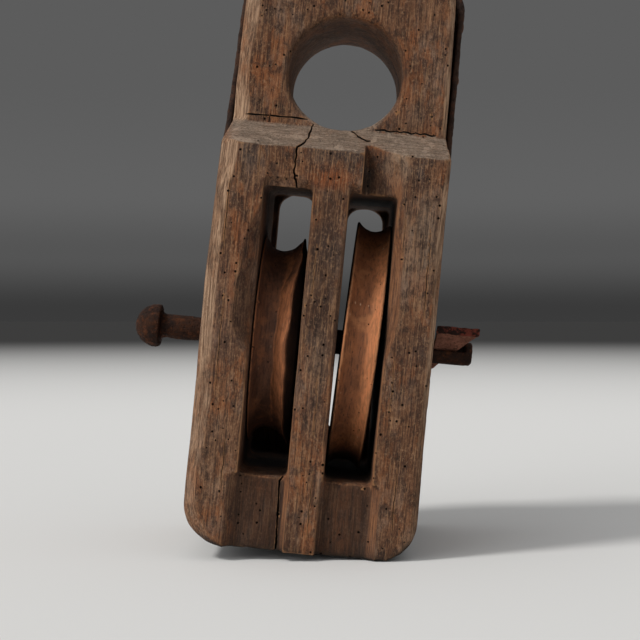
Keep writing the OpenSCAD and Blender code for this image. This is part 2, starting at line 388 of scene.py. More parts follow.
class Graph:
    """The node graph of a material or a world, built by short calls."""

    def __init__(self, owner, coordinates):
        owner.use_nodes = True
        self.tree = owner.node_tree
        self.tree.nodes.clear()
        self.where = self.add("ShaderNodeTexCoord").outputs[coordinates]

    def add(self, kind, **settings):
        node = self.tree.nodes.new(kind)
        for key, value in settings.items():
            setattr(node, key, value)
        return node

    def feed(self, socket, value):
        if isinstance(value, bpy.types.NodeSocket):
            self.tree.links.new(value, socket)
        else:
            socket.default_value = value

    def vector(self, operation, a, b=None):
        """A vector operation's node on a and b."""
        node = self.add("ShaderNodeVectorMath", operation=operation)
        self.feed(node.inputs[0], a)
        if b is not None:
            self.feed(node.inputs[1], b)
        return node

    def along(self, direction):
        """How far the coordinates are along a direction."""
        return self.vector("DOT_PRODUCT", self.where, direction).outputs["Value"]

    def span(self, value, low, high, to_low=0.0, to_high=1.0, interpolation="SMOOTHSTEP"):
        """value mapped from low..high to to_low..to_high."""
        node = self.add("ShaderNodeMapRange", interpolation_type=interpolation)
        self.feed(node.inputs["Value"], value)
        node.inputs["From Min"].default_value = low
        node.inputs["From Max"].default_value = high
        node.inputs["To Min"].default_value = to_low
        node.inputs["To Max"].default_value = to_high
        return node.outputs["Result"]


class Look(Graph):
    """A material of noise, masks and colours, on coordinates in metres in the CAD model's frame."""

    def __init__(self, name):
        self.material = bpy.data.materials.new(name)
        super().__init__(self.material, "Object")

    def stretched(self, scale):
        """Coordinates scaled along each axis, so that noise on them is stretched."""
        node = self.add("ShaderNodeMapping")
        self.feed(node.inputs["Vector"], self.where)
        node.inputs["Scale"].default_value = scale
        return node.outputs["Vector"]

    def noise(self, vector, scale, detail, rough, warp=0.0):
        node = self.add("ShaderNodeTexNoise")
        self.feed(node.inputs["Vector"], vector)
        node.inputs["Scale"].default_value = scale
        node.inputs["Detail"].default_value = detail
        node.inputs["Roughness"].default_value = rough
        node.inputs["Distortion"].default_value = warp
        return node.outputs["Fac"]

    def cells(self, vector, scale):
        """The distance to the nearest of many scattered points."""
        node = self.add("ShaderNodeTexVoronoi")
        self.feed(node.inputs["Vector"], vector)
        node.inputs["Scale"].default_value = scale
        return node.outputs["Distance"]

    def math(self, operation, a, b=0.0):
        node = self.add("ShaderNodeMath", operation=operation)
        self.feed(node.inputs[0], a)
        self.feed(node.inputs[1], b)
        return node.outputs[0]

    def product(self, mask, *others):
        """Masks multiplied together."""
        for other in others:
            mask = self.math("MULTIPLY", mask, other)
        return mask

    def mix(self, fac, a, b):
        """Colour a to b by fac."""
        node = self.add("ShaderNodeMix", data_type="RGBA")
        self.feed(node.inputs[0], fac)
        self.feed(node.inputs[6], a)
        self.feed(node.inputs[7], b)
        return node.outputs[2]

    def layer(self, colour, mask, low, high, at_low, at_high, tone):
        """tone over colour, as strong as mask mapped from low..high to at_low..at_high."""
        return self.mix(self.span(mask, low, high, at_low, at_high), colour, tone)

    def axis(self, name):
        node = self.add("ShaderNodeSeparateXYZ")
        self.feed(node.inputs[0], self.where)
        return node.outputs[name]

    def facing(self, name):
        """One component of the surface's normal."""
        split = self.add("ShaderNodeSeparateXYZ")
        self.feed(split.inputs[0], self.add("ShaderNodeNewGeometry").outputs["Normal"])
        return split.outputs[name]

    def between(self, name, low, high, soft):
        """1 where a coordinate is between low and high, with soft ends."""
        place = self.axis(name)
        return self.product(self.span(place, low, low + soft),
                            self.span(place, high - soft, high, 1.0, 0.0))

    def near(self, centre, radius, soft, flatten):
        """1 within radius of a point, fading to 0 over soft. flatten scales the distance by axis."""
        offset = self.vector("SUBTRACT", self.where, centre).outputs[0]
        scaled = self.vector("MULTIPLY", offset, flatten).outputs[0]
        length = self.vector("LENGTH", scaled).outputs["Value"]
        return self.span(length, radius, radius + soft, 1.0, 0.0)

    def enclosed_shade(self, distance, low, high, most):
        """A mask for painted shade: most where the surface is closely surrounded, 0 where it is open."""
        node = self.add("ShaderNodeAmbientOcclusion", samples=6)
        node.inputs["Distance"].default_value = distance
        return self.span(node.outputs["AO"], low, high, most, 0.0)

    def edges(self, low, high):
        """1 on worn convex edges."""
        return self.span(self.add("ShaderNodeNewGeometry").outputs["Pointiness"], low, high)

    def finish(self, colour, rough, bump, height, gloss=0.3):
        """Joins colour, roughness and a bump map of so much height to the surface."""
        shader = self.add("ShaderNodeBsdfPrincipled")
        self.feed(shader.inputs["Base Color"], colour)
        self.feed(shader.inputs["Roughness"], rough)
        shader.inputs["Specular IOR Level"].default_value = gloss
        relief = self.add("ShaderNodeBump")
        relief.inputs["Distance"].default_value = height
        self.feed(relief.inputs["Height"], bump)
        self.feed(shader.inputs["Normal"], relief.outputs["Normal"])
        out = self.add("ShaderNodeOutputMaterial")
        self.feed(out.inputs["Surface"], shader.outputs[0])
        return self.material


# ---------------------------------------------------------------- the block's material

# Noise in the block's wood: stretch along x, y and z, scale, detail, roughness and warp.
GRAIN = {
    "fibres": ((1, 1, 0.045), 640, 6, 0.75, 0.12),
    "streaks": ((1, 1, 0.07), 210, 5, 0.7, 0.3),
    "bands": ((1, 1, 0.18), 58, 6, 0.75, 0.5),
    "silver": ((1, 1, 0.45), 40, 6, 0.72, 0.3),
    "warm": ((1.3, 1, 0.5), 30, 6, 0.72, 0.3),
    "blotches": ((1, 1, 0.75), 85, 6, 0.72, 0.4),
    "mottle": ((1, 1, 0.6), 520, 5, 0.8, 0.0),
    "along_x": ((0.05, 1, 1), 620, 6, 0.75, 0.2),
}

# Weathering over the ground colour: noise, its range, the strength at each end, and the colour.
WEATHERING = (
    ("silver", 0.48, 0.62, 0.0, 0.6, (134, 110, 94)),
    ("warm", 0.48, 0.62, 0.0, 0.65, (146, 84, 42)),
)

# The grain's own dark and pale lines and specks, in the same form.
LINES = (
    ("blotches", 0.38, 0.5, 0.75, 0.0, (54, 37, 28)),
    ("blotches", 0.54, 0.66, 0.0, 0.45, (150, 112, 82)),
    ("streaks", 0.38, 0.48, 0.5, 0.0, (54, 36, 26)),
    ("fibres", 0.38, 0.5, 0.7, 0.0, (44, 29, 21)),
    ("fibres", 0.52, 0.64, 0.0, 0.5, (176, 136, 100)),
    ("mottle", 0.52, 0.64, 0.0, 0.55, (48, 32, 24)),
    ("mottle", 0.36, 0.47, 0.5, 0.0, (164, 128, 98)),
)

# Stains on the front, and one patch of painted light on the notch's floor: x, z, half width, half height
# in mm, strength and colour.
STAINS_AND_NOTCH_LIGHT = (
    # painted light on the notch's floor, right of the shadow that the notch's wall casts
    (62, 174, 15, 22, 0.95, (172, 142, 116)),
    (-2, 158, 26, 14, 0.85, (166, 86, 34)),
    (6, 180, 30, 7, 0.8, (58, 50, 46)),
    (70, 230, 34, 18, 0.7, (96, 82, 72)),
    (-30, 166, 44, 22, 0.5, (120, 76, 46)),
    (0, 60, 22, 130, 0.7, (58, 39, 28)),
    (2, -32, 14, 60, 0.4, (118, 100, 86)),
    (3, 96, 15, 24, 0.6, (52, 44, 42)),
    (-76, 92, 14, 50, 0.6, (132, 74, 38)),
    (-92, 20, 22, 60, 0.5, (128, 100, 84)),
    (90, 100, 22, 60, 0.7, (126, 110, 94)),
    (94, -2, 20, 20, 0.7, (48, 36, 30)),
    (86, -100, 22, 70, 0.45, (112, 70, 40)),
    (96, -50, 26, 120, 0.3, (64, 42, 30)),
    (-84, -120, 26, 50, 0.5, (118, 88, 66)),
)


def layered(look, grain, colour, layers):
    """Lays a table of layers over colour."""
    for name, low, high, at_low, at_high, tone in layers:
        colour = look.layer(colour, grain[name], low, high, at_low, at_high, rgb(*tone))
    return colour


def stains_and_notch_light(look, grain, colour):
    """Damp greyness under the shoulder, the front's stains, and painted light on the notch's floor."""
    damp = look.product(look.between("Z", z_at(160), z_at(190), 8 * MM),
                        look.span(grain["silver"], 0.44, 0.52), 0.6)
    colour = look.mix(damp, colour, rgb(76, 66, 60))
    for x, z, wide, tall, strength, tone in STAINS_AND_NOTCH_LIGHT:
        flatten = (1 / (wide * MM), 0.4 / (wide * MM), 1 / (tall * MM))
        blot = look.product(look.near(at(x, z), 0.3, 0.9, flatten),
                            look.span(grain["bands"], 0.3, 0.6, 0.35 * strength, strength))
        colour = look.mix(blot, colour, rgb(*tone))
    return colour


def shaded_greasy_grooves(look, grain, colour):
    """Painted shade on the floors of the recessed rope grooves below the slots, darkened also by rope
    grease.
    """
    # the mask is the recess's depth behind the front face, low down and facing forward: painted shade,
    # with some rope grease
    groove = look.product(look.between("Y", y_at(4), y_at(34), 5 * MM),
                          look.span(look.axis("Z"), z_at(-122), z_at(-112), 0.75, 0.0),
                          look.span(look.facing("Y"), -0.9, -0.7, 1.0, 0.0))
    shaded_greasy_wood = look.mix(look.span(grain["streaks"], 0.4, 0.6), rgb(42, 26, 17), rgb(64, 40, 25))
    return look.mix(groove, colour, shaded_greasy_wood)


def bleached_top(look, grain, colour):
    """Pale weathered wood on the upward faces, with its grain along X."""
    bleached = look.mix(look.span(grain["along_x"], 0.36, 0.6), rgb(88, 74, 62), rgb(164, 145, 127))
    bleached = look.layer(bleached, grain["mottle"], 0.48, 0.62, 0, 0.75, rgb(78, 64, 54))
    bleached = look.layer(bleached, grain["blotches"], 0.52, 0.62, 0, 0.5, rgb(188, 168, 148))
    upward = look.product(look.span(look.facing("Z"), 0.25, 0.7),
                          look.span(look.axis("Z"), z_at(150), z_at(170), 0.0, 0.75),
                          look.span(look.axis("X"), x_at(-106), x_at(-97), 0.35, 1.0))
    return look.mix(upward, colour, bleached)


def from_middle(look):
    """The distance from the partition's middle, to either side."""
    return look.math("ABSOLUTE", look.math("SUBTRACT", look.axis("X"), CENTRE_X))


def worn_corners(look, grain, colour):
    """Light wood on the block's outer upright corners and dirty wood on the slots' corners."""
    corner = look.math("ABSOLUTE", look.math("MULTIPLY", look.facing("X"), look.facing("Y")))
    corner = look.span(corner, 0.15, 0.42)
    rubbed = look.product(corner, look.span(from_middle(look), *mm(78, 94)),
                          look.span(grain["silver"], 0.42, 0.56, 0.25, 0.75),
                          look.span(look.axis("Z"), z_at(-130), z_at(10), 0.4, 1.0))
    light_wood = look.mix(look.span(grain["fibres"], 0.4, 0.6), rgb(108, 80, 58), rgb(192, 158, 128))
    colour = look.mix(rubbed, colour, light_wood)
    dirty = look.product(corner, look.span(from_middle(look), *mm(74, 82), 0.35, 0.0))
    return look.mix(dirty, colour, rgb(70, 50, 40))


def lit_rubbed_left_walls(look, grain, colour):
    """Painted light on walls that face left towards the lamps, low in the slots and on the right cheek,
    in the warm pale wood of rope rubbing.
    """
    low_down = look.span(look.axis("Z"), z_at(-110), z_at(-70), 1.0, 0.0)
    right_cheek = look.span(look.axis("X"), x_at(50), x_at(56))
    # walls that face left get painted light, partly rope-rubbed wood
    lit = look.product(look.span(look.facing("X"), -0.7, -0.35, 0.45, 0.0),
                       look.math("MAXIMUM", low_down, right_cheek),
                       look.span(look.axis("Y"), y_at(12), y_at(18), 1.0, 0.0),
                       look.span(from_middle(look), *mm(74, 80), 1.0, 0.0))
    lit_rubbed_wood = look.mix(look.span(grain["fibres"], 0.4, 0.6), rgb(104, 64, 40), rgb(164, 108, 68))
    return look.mix(lit, colour, lit_rubbed_wood)


def block_wood():
    """Old dry timber: brown with silvery and orange patches, streaked along Z, pale upper faces, with
    painted shade in its hollows and grooves and painted light on walls that face left and on the notch's
    floor.
    """
    look = Look("block_wood")
    grain = {name: look.noise(look.stretched(stretch), *rest) for name, (stretch, *rest) in GRAIN.items()}
    colour = look.mix(look.span(grain["bands"], 0.34, 0.64), rgb(76, 48, 33), rgb(118, 80, 55))
    colour = layered(look, grain, colour, WEATHERING)
    colour = stains_and_notch_light(look, grain, colour)
    colour = layered(look, grain, colour, LINES)
    colour = shaded_greasy_grooves(look, grain, colour)
    colour = bleached_top(look, grain, colour)
    colour = worn_corners(look, grain, colour)
    colour = lit_rubbed_left_walls(look, grain, colour)
    colour = look.mix(look.edges(0.515, 0.57), colour, rgb(150, 108, 72))
    # painted shade, near black, where the wood is closely surrounded: deep in the slots, under the
    # lintels and in the notch
    colour = look.mix(look.enclosed_shade(45 * MM, 0.3, 0.78, 0.95), colour, rgb(17, 14, 10))
    height = look.math("ADD", grain["fibres"], look.math("MULTIPLY", grain["streaks"], 1.3))
    height = look.math("SUBTRACT", height, look.math("MULTIPLY", grain["mottle"], 0.6))
    rough = look.span(grain["fibres"], 0.3, 0.7, 0.78, 0.95)
    return look.finish(colour, rough, height, 1.4 * MM)


# ---------------------------------------------------------------- the other materials


def sheave_wood(name, deep, light, worn, scratches):
    """Turned wood with the grain across the disc, rope-worn edges, painted light on the flanks that face
    left, partly rope-polished wood, and painted shade where the slot closes round it.
    """
    look = Look(name)
    fibres = look.noise(look.stretched((1, 0.4, 0.12)), 520, 6, 0.75, 0.4)
    bands = look.noise(look.stretched((0.9, 0.3, 0.3)), 70, 5, 0.65, 0.6)
    patches = look.noise(look.where, 45, 6, 0.7)
    colour = look.mix(look.span(bands, 0.34, 0.66), deep, light)
    colour = look.layer(colour, fibres, 0.38, 0.5, 0.6, 0.0, rgb(40, 26, 18))
    colour = look.layer(colour, patches, 0.5, 0.66, 0.0, 0.55, worn)
    colour = look.layer(colour, fibres, 0.54, 0.7, 0.0, 0.3, worn)
    colour = look.mix(look.edges(0.51, 0.55), colour, worn)
    # painted light on flanks that face left and forward, towards the lamps, in orange rope-polished wood
    flank = look.product(look.span(look.facing("X"), -0.6, -0.1, 0.75, 0.0),
                         look.span(look.facing("Y"), -0.6, -0.3, 1.0, 0.0))
    colour = look.mix(flank, colour, look.mix(look.span(fibres, 0.4, 0.6), worn, rgb(204, 128, 82)))
    specks = look.cells(look.stretched((1, 1, 0.5)), 90)
    colour = look.layer(colour, specks, 0.04, 0.1, scratches, 0.0, rgb(190, 160, 130))
    # painted shade, near black, where the sheave is closely surrounded by the slot's walls
    colour = look.mix(look.enclosed_shade(30 * MM, 0.3, 0.9, 0.85), colour, rgb(22, 15, 11))
    height = look.math("ADD", look.math("MULTIPLY", fibres, 0.8), look.math("MULTIPLY", patches, 0.5))
    return look.finish(colour, look.span(patches, 0.3, 0.7, 0.6, 0.8), height, 0.8 * MM)


def rusty_iron(name, base, light, crust, head=None):
    """Forged iron under brown rust with pits and flakes.

    head is for the wedge: how far along WEDGE_UP its burnt, battered top begins and is complete.
    """
    look = Look(name)
    patches = look.noise(look.where, 55, 6, 0.65)
    spots = look.noise(look.where, 150, 6, 0.7)
    grain = look.noise(look.where, 420, 6, 0.75)
    pits = look.cells(look.where, 330)
    colour = look.mix(look.span(patches, 0.38, 0.6), base, light)
    colour = look.layer(colour, spots, 0.5, 0.64, 0.0, 0.7, crust)
    colour = look.layer(colour, grain, 0.54, 0.7, 0.0, 0.8, crust)
    colour = look.layer(colour, spots, 0.36, 0.46, 0.7, 0.0, rgb(34, 24, 20))
    colour = look.layer(colour, pits, 0.12, 0.3, 0.6, 0.0, rgb(38, 24, 19))
    if head:
        burnt = look.mix(look.span(spots, 0.44, 0.56), rgb(40, 25, 20), rgb(112, 54, 42))
        colour = look.mix(look.span(look.along(WEDGE_UP), *head), colour, burnt)
    height = look.math("ADD", look.math("MULTIPLY", grain, 1.2), look.span(pits, 0.05, 0.35))
    return look.finish(colour, look.span(grain, 0.3, 0.7, 0.72, 0.95), height, 0.5 * MM, gloss=0.15)


# ---------------------------------------------------------------- the block's wood

# The block's outer upright edges: their sides in X and Y, and the bevel's size in mm.
OUTER_EDGES = ((-1, -1, 14), (1, -1, 5), (-1, 1, 8), (1, 1, 8))

# The slots' front edges: wall, which way the wall faces, bevel, and its low and high ends in mm.
SLOT_EDGES = (
    (LEFT_SLOT[0], 1, 15, -30, SLOT_TOP),
    (RIGHT_SLOT[1], -1, 12, -30, 130),
    (LEFT_SLOT[1], -1, 2.5, -130, SLOT_TOP),
    (RIGHT_SLOT[0], 1, 3, -130, SLOT_TOP),
)

# Hollows that ropes wore over the slots: x, z, half width, half height and depth in mm.
HOLLOWS = ((-46, 156, 17, 13, 3.2), (-6, 176, 14, 8, 1.6))

EDGE_SLACK = 2 * MM               # points farther outside an edge's two planes belong to another part


def reach(points, axis, sign, step=5 * MM):
    """How far the points go along an axis, as a function of height."""
    shelf = np.floor(points[:, 2] / step).astype(int)
    first = shelf.min()
    far = np.full(shelf.max() - first + 1, -np.inf)
    np.maximum.at(far, shelf - first, points[:, axis] * sign)
    heights = (np.arange(len(far)) + first + 0.5) * step
    return lambda z: sign * np.interp(z, heights, far)


def wear_edge(points, wall, sx, face, sy, size):
    """Wears an upright edge off: wall(z) and face(z) are the planes it lies between.

    sx and sy point out of the wood, and size(z) is the bevel's size.
    """
    z = points[:, 2]
    dx = (wall(z) - points[:, 0]) * sx
    dy = (face(z) - points[:, 1]) * sy
    over = size(z) - dx - dy
    over[(dx < -EDGE_SLACK) | (dy < -EDGE_SLACK)] = 0
    shift = np.clip(over, 0, None) / 2
    points[:, 0] -= sx * shift
    points[:, 1] -= sy * shift


def uneven(size, seed):
    """A bevel size that varies along Z by about a third."""
    def at_height(z):
        places = np.stack([np.zeros_like(z), np.zeros_like(z), z], axis=1)
        return size * MM * (1 + 0.35 * noise(places, mm(1000, 1000, 45), seed))
    return at_height


def chafed(size, low, high, seed, run_out=45):
    """A bevel size that swells between two heights above the pin, where a rope rubbed."""
    base = uneven(size, seed)
    def at_height(z):
        up = (z - PIN_Z) / MM
        return base(z) * band(up, low, low + run_out, high - run_out, high)
    return at_height


def upright(x):
    """A wall at x that stands along Z, for wear_edge."""
    return lambda z: x_at(x)


def deepen_notch(points):
    """Hollows the notch's floor towards the slot, where the rope wore it deepest."""
    x, y, z = measured(points)
    hollow = band(x, 30, 34, 56, 72) * band(z, 130, 140, 150, 190) * fade(y, 20, 40)
    points[:, 1] += hollow * 9 * MM


def bevelled(points):
    """Wears a broad uneven bevel along each upright edge of the block, broadest at the front left."""
    points = points.copy()
    for sx, sy, size in OUTER_EDGES:
        wear_edge(points, reach(points, 0, sx), sx, reach(points, 1, sy), sy,
                  uneven(size, seed=7 + sx + 2 * sy))
    deepen_notch(points)
    front = reach(points, 1, -1)
    for x, sx, size, low, high in SLOT_EDGES:
        wear_edge(points, upright(x), sx, front, -1, chafed(size, low, high, seed=23 + sx))
    return points


def grain_relief(p, n):
    """Ridged grain along Z, end grain on the flat ends, dents and slow unevenness.

    In the slots it only sinks into the wood, so that the sheaves stay clear of it.
    """
    ridges = fractal(p, mm(6, 6, 150), seed=3, octaves=2) * 0.25 * MM
    ridges += noise(p, mm(3, 3, 40), seed=5) * 0.16 * MM
    end_grain = fractal(p, mm(6, 6, 6), seed=9, octaves=2) * 0.3 * MM
    dents = -ramp(noise(p, mm(9, 9, 16), seed=13), 0.55, 0.9) * 0.7 * MM
    slow = fractal(p, mm(70, 70, 160), seed=21, octaves=3) * 0.7 * MM
    on_end = ramp(np.abs(n[:, 2]), 0.5, 0.8)
    relief = ridges * (1 - on_end) + end_grain * on_end + dents + slow
    from_middle = np.abs(measured(p)[0])
    in_slots = ramp(np.abs(n[:, 0]), 0.6, 0.85) * fade(from_middle, 72, 76)
    return relief * (1 - in_slots) + np.minimum(relief, 0) * 0.5 * in_slots


def lintel_hollows(p, n):
    """The shallow hollows that ropes wore over the left slot and over the partition."""
    x, y, z = measured(p)
    front = ramp(-n[:, 1], 0.3, 0.8) * fade(y, 22, 30)
    deep = sum(np.exp(-((x - mid_x) / wide) ** 2 - ((z - mid_z) / tall) ** 2) * depth
               for mid_x, mid_z, wide, tall, depth in HOLLOWS)
    return -deep * front * MM


def edge_wear(p):
    """How much rounder than usual the wood is worn, by place: in patches, and where ropes ran."""
    x, y, z = measured(p)
    front = fade(y, 12, 30)
    patchy = ramp(fractal(p, mm(24, 24, 40), seed=31, octaves=2), 0.25, 0.7)
    rope_grooves = front * band(np.abs(x), 60, 70, 74, 84) * ramp(-z, 122, 134)
    notch = front * band(x, 46, 54, 76, 84) * ramp(z, 140, 150)
    left_corner = front * ramp(-x, 88, 96)
    return np.clip(0.8 * patchy + 0.3 * rope_grooves + notch + 0.8 * left_corner, 0, 1)


# ---------------------------------------------------------------- cracks and tool marks

# Cracks and tool marks in the front: stations (x, z and the surface's depth there), then width,
# depth, wander, seed and step. All are in mm, but for the seed.
FRONT_CRACKS = (
    # the drying crack from the head's foot over the shoulder down to the left slot
    (((-23.4, 212, 42), (-26.4, 196, 18), (-30.3, 188, 5), (-35.2, 184, 0), (-35.6, 174, 0),
      (-36.4, 162, 1), (-34.8, 154.7, 2), (-31.3, 145, 7)), 2.0, 16, 0.5, 5, 3),
    # the split beside the partition, below the left slot
    (((-17.6, -122, 4), (-19.6, -130, 8), (-22.8, -135, 9), (-22.4, -158, 9),
      (-21.2, -185, 9), (-20.5, -206, 9)), 1.9, 16, 0.3, 8, 3),
    # the saw's kerf along the head's foot, and a short cut across it
    (((-95, 216.6, 42), (-29, 216.5, 42)), 1.8, 4, 0.4, 3, 6),
    (((-66, 219, 42), (-66.6, 210, 42)), 1.5, 3, 0.3, 12, 3),
    # the chisel's line along the head's foot on the right
    (((38, 212, 42), (97, 211.5, 42)), 1.8, 2.5, 1.1, 4, 4),
    # the crack from the head's foot towards the notch
    (((14, 209, 42), (20, 203, 36), (28, 199, 26), (34, 199, 26)), 1.3, 3, 1.2, 14, 3),
    # a scribed line near the head's right edge
    (((90.2, 245, 42), (92, 216, 42)), 0.7, 0.7, 0.1, 6, 8),
)

# Drying checks: axis and side of the face, place across it, low and high ends, and width in mm. The
# place is from the partition's middle on the front and the back, and from mid-depth on the sides.
CHECKS = (
    (1, -1, -96.5, 74, 188, 1.0), (1, -1, -92, -60, 40, 0.7), (1, -1, -78, -150, -96, 0.8),
    (1, -1, -70, 150, 186, 0.7), (1, -1, -104, -20, 70, 0.7), (1, -1, 99, 30, 120, 0.8),
    (1, -1, 88, -175, -110, 0.9), (1, -1, 76, -60, -8, 0.6), (1, -1, 8, -190, -120, 0.8),
    (1, -1, -8, 40, 96, 0.6), (1, -1, 5, -90, -30, 0.6), (1, -1, 74, 60, 128, 0.6),
    (0, -1, -66, -170, -20, 1.5), (0, -1, -92, 30, 150, 1.0), (0, -1, 44, -150, 60, 1.8),
    (0, -1, 74, 40, 190, 1.1), (0, -1, 12, -190, -70, 1.3), (0, -1, 96, -205, -120, 1.2),
    (0, 1, -58, -160, -10, 1.6), (0, 1, -88, 60, 160, 1.0), (0, 1, 52, -120, 90, 1.8),
    (0, 1, 82, 60, 185, 1.2), (0, 1, 16, -200, -80, 1.3), (0, 1, -22, -200, -120, 1.0),
    (1, 1, -92, -120, 110, 1.6), (1, 1, 94, -180, 10, 1.5), (1, 1, 84, 60, 190, 1.2),
    (1, 1, -8, -205, -150, 1.3), (1, 1, -70, -200, -160, 1.0),
)
CHECK_STEP = 7                    # distance between the points of a check's path, in mm
CHECK_WANDER = 0.6                # how far they stray sideways, in mm
CHECK_DEPTH = 4.5                 # a check's depth over its width


def front_crack(stations, width, depth, wander, seed, step):
    """The cutter of one row of FRONT_CRACKS."""
    path = jagged([at(x, z, y) for x, z, y in stations], step * MM, wander * MM, INTO_FRONT, seed)
    return blade(path, INTO_FRONT, lambda t: width * MM * (0.75 + 0.5 * math.sin(9 * t) ** 2),
                 lambda t: depth * MM)


def drying_check(face, axis, side, across, low, high, width, seed):
    """The cutter of a fine crack along the grain that runs out at both ends.

    face(z) is where the wood's surface is.
    """
    def swell(t):
        return 0.25 + 0.75 * math.sin(math.pi * t) ** 0.7

    rng = random.Random(seed)
    count = round((high - low) / CHECK_STEP)
    path = []
    for i in range(count + 1):
        p = at(across, low + (high - low) * i / count)
        p[axis] = face(p[2])
        if axis == 0:
            p[1] = across * MM
        p[1 - axis] += rng.uniform(-CHECK_WANDER, CHECK_WANDER) * MM
        path.append(p)
    inward = np.zeros(3)
    inward[axis] = -side
    return blade(path, inward, lambda t: width * MM * swell(t),
                 lambda t: CHECK_DEPTH * width * MM * swell(t))


def cut_cracks(body):
    """Cuts the front's cracks and tool marks and every face's drying checks, all in one pass."""
    blades = [front_crack(*row) for row in FRONT_CRACKS]
    points = read_points(body.data)
    for seed, (axis, side, *place) in enumerate(CHECKS):
        blades.append(drying_check(reach(points, axis, side), axis, side, *place, seed))
    cut(body, joined("cracks", blades))


# ---------------------------------------------------------------- the other pieces' wear

LIP_RIDGE = 14 * MM               # the ridge of the left sheave's right lip, from the sheave's middle
LIP_DROP = 12 * MM                # how much lower the lip is at the sheave's right face
LIP_FLANK = 12 * MM               # width of the flank that falls from the ridge into the groove
LIP_STEEPNESS = 1.15              # the flank's fall over its width
PIN_HEAD = 28 * MM                # length of the pin's head, where its rust is thickest


def lip_swing(spoke):
    """How far the lip's ridge swings to the right, by the direction of a point from the centre."""
    angle = np.arctan2(spoke[:, 2], -spoke[:, 1])
    swing = (3 - 6 * np.clip(np.cos(1.5 * angle + 0.3), 0, 1)) * MM
    return swing + fractal(spoke, mm(1000, 26, 26), seed=61, octaves=2) * 1.5 * MM


def worn_lip(obj):
    """Shapes the left sheave's broad right lip, whose ridge swings left at the front."""
    points = read_points(obj.data)
    x = points[:, 0] - LEFT_SHEAVE[0]
    half_width = (points[:, 0].max() - points[:, 0].min()) / 2
    spoke = points - LEFT_SHEAVE
    spoke[:, 0] = 0
    radius = np.linalg.norm(spoke, axis=1)
    rim_radius = radius.max()
    swing = lip_swing(spoke)
    rim = ramp(radius, rim_radius - 20 * MM, rim_radius - 8 * MM)
    points[:, 0] += swing * band(x, -6 * MM, LIP_RIDGE, LIP_RIDGE, half_width) * rim

    left_of_ridge = LEFT_SHEAVE[0] + LIP_RIDGE + swing - points[:, 0]
    slope = rim_radius - 2 * MM - LIP_STEEPNESS * left_of_ridge
    flank = (left_of_ridge > 0) & (left_of_ridge < LIP_FLANK) & (radius > rim_radius - 24 * MM)
    raised = np.where(flank & (slope > radius), slope - radius, 0)
    lowered = ramp(x, LIP_RIDGE, half_width) * rim * LIP_DROP
    points += spoke / np.maximum(radius, 1e-6)[:, None] * (raised - lowered)[:, None]
    write_points(obj.data, points)


def sheave_relief(seed):
    """Wear on the rope groove. The flat faces and the bore stay true, so that the sheave turns."""
    def relief(p, n):
        worn = fractal(p, mm(18, 30, 30), seed, octaves=3) * 0.7 * MM
        fine = fractal(p, mm(4, 12, 3), seed + 5, octaves=2) * 0.2 * MM
        radius = np.hypot(p[:, 1] - p[:, 1].mean(), p[:, 2] - p[:, 2].mean())
        groove = ramp(radius, 40 * MM, 60 * MM) * (1 - ramp(np.abs(n[:, 0]), 0.6, 0.85))
        return (worn + fine) * groove
    return relief


def iron_relief(seed, lumps, pits):
    """Rust lumps and pits, with their sizes in mm."""
    def relief(p, n):
        slow = fractal(p, mm(16, 16, 16), seed, octaves=2) * lumps * MM
        fine = fractal(p, mm(3, 3, 3), seed + 3, octaves=2) * pits * MM
        return slow + fine
    return relief


def pin_relief(p, n):
    """Rust lumps on the pin's head, and only pits on its shank, which has to slide."""
    rough = iron_relief(seed=71, lumps=0.8, pits=0.3)(p, n)
    shank = ramp(p[:, 0], pin_low.x + PIN_HEAD, pin_low.x + PIN_HEAD + 4 * MM)
    return rough * (1 - shank) + np.minimum(rough - 0.3 * MM, 0) * shank


def worn_ends(p):
    """The pin's head and, half as much, its far end, where the iron is worn roundest."""
    return np.maximum(fade(p[:, 0], pin_low.x + PIN_HEAD, pin_low.x + PIN_HEAD + 6 * MM),
                      ramp(p[:, 0], pin_high.x - 14 * MM, pin_high.x - 6 * MM) * 0.5)


def hammered_head(p, n):
    """The burr that hammer blows raised round the wedge's driven end."""
    up = (p - np.array([0, 0, PIN_Z])) @ WEDGE_UP
    burr = 0.9 + 0.8 * noise(p, mm(6, 6, 6), seed=87)
    return ramp(up, WEDGE_TOP - 4.5 * MM, WEDGE_TOP - 2 * MM) * burr * MM


# ---------------------------------------------------------------- building the pieces


def dress(obj, body, material, node):
    """Gives a piece its material and body, and lets it stand for its CAD node."""
    obj.data.materials.clear()
    obj.data.materials.append(material)
    shaded(obj)
    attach(obj, body)
    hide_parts(node)


def build_block():
    body = fine_copy("block_body", "carved_block", voxel=2.0 * MM, rounds=3, shape=bevelled)
    soften(body, edge_wear(read_points(body.data)), rounds=22)
    push(body, lintel_hollows)
    push(body, grain_relief)
    cut_cracks(body)
    cut_worm_holes(body, on_front, count=190, seed=2)
    cut_worm_holes(body, behind_slots, count=200, seed=4, gap=8 * MM)
    dress(body, "shell", block_wood(), "block_body")


def build_left_sheave():
    sheave = fine_copy("left_sheave", "worn_left_sheave", voxel=1.4 * MM, rounds=6)
    worn_lip(sheave)
    push(sheave, sheave_relief(seed=41))
    cut_worm_holes(sheave, off_flat_faces, count=60, seed=12, radius=mm(0.6, 1.0))
    wood = sheave_wood("left_wood", deep=rgb(82, 52, 37), light=rgb(112, 72, 50),
                       worn=rgb(152, 96, 62), scratches=0.2)
    dress(sheave, "left_wheel", wood, "left_sheave")


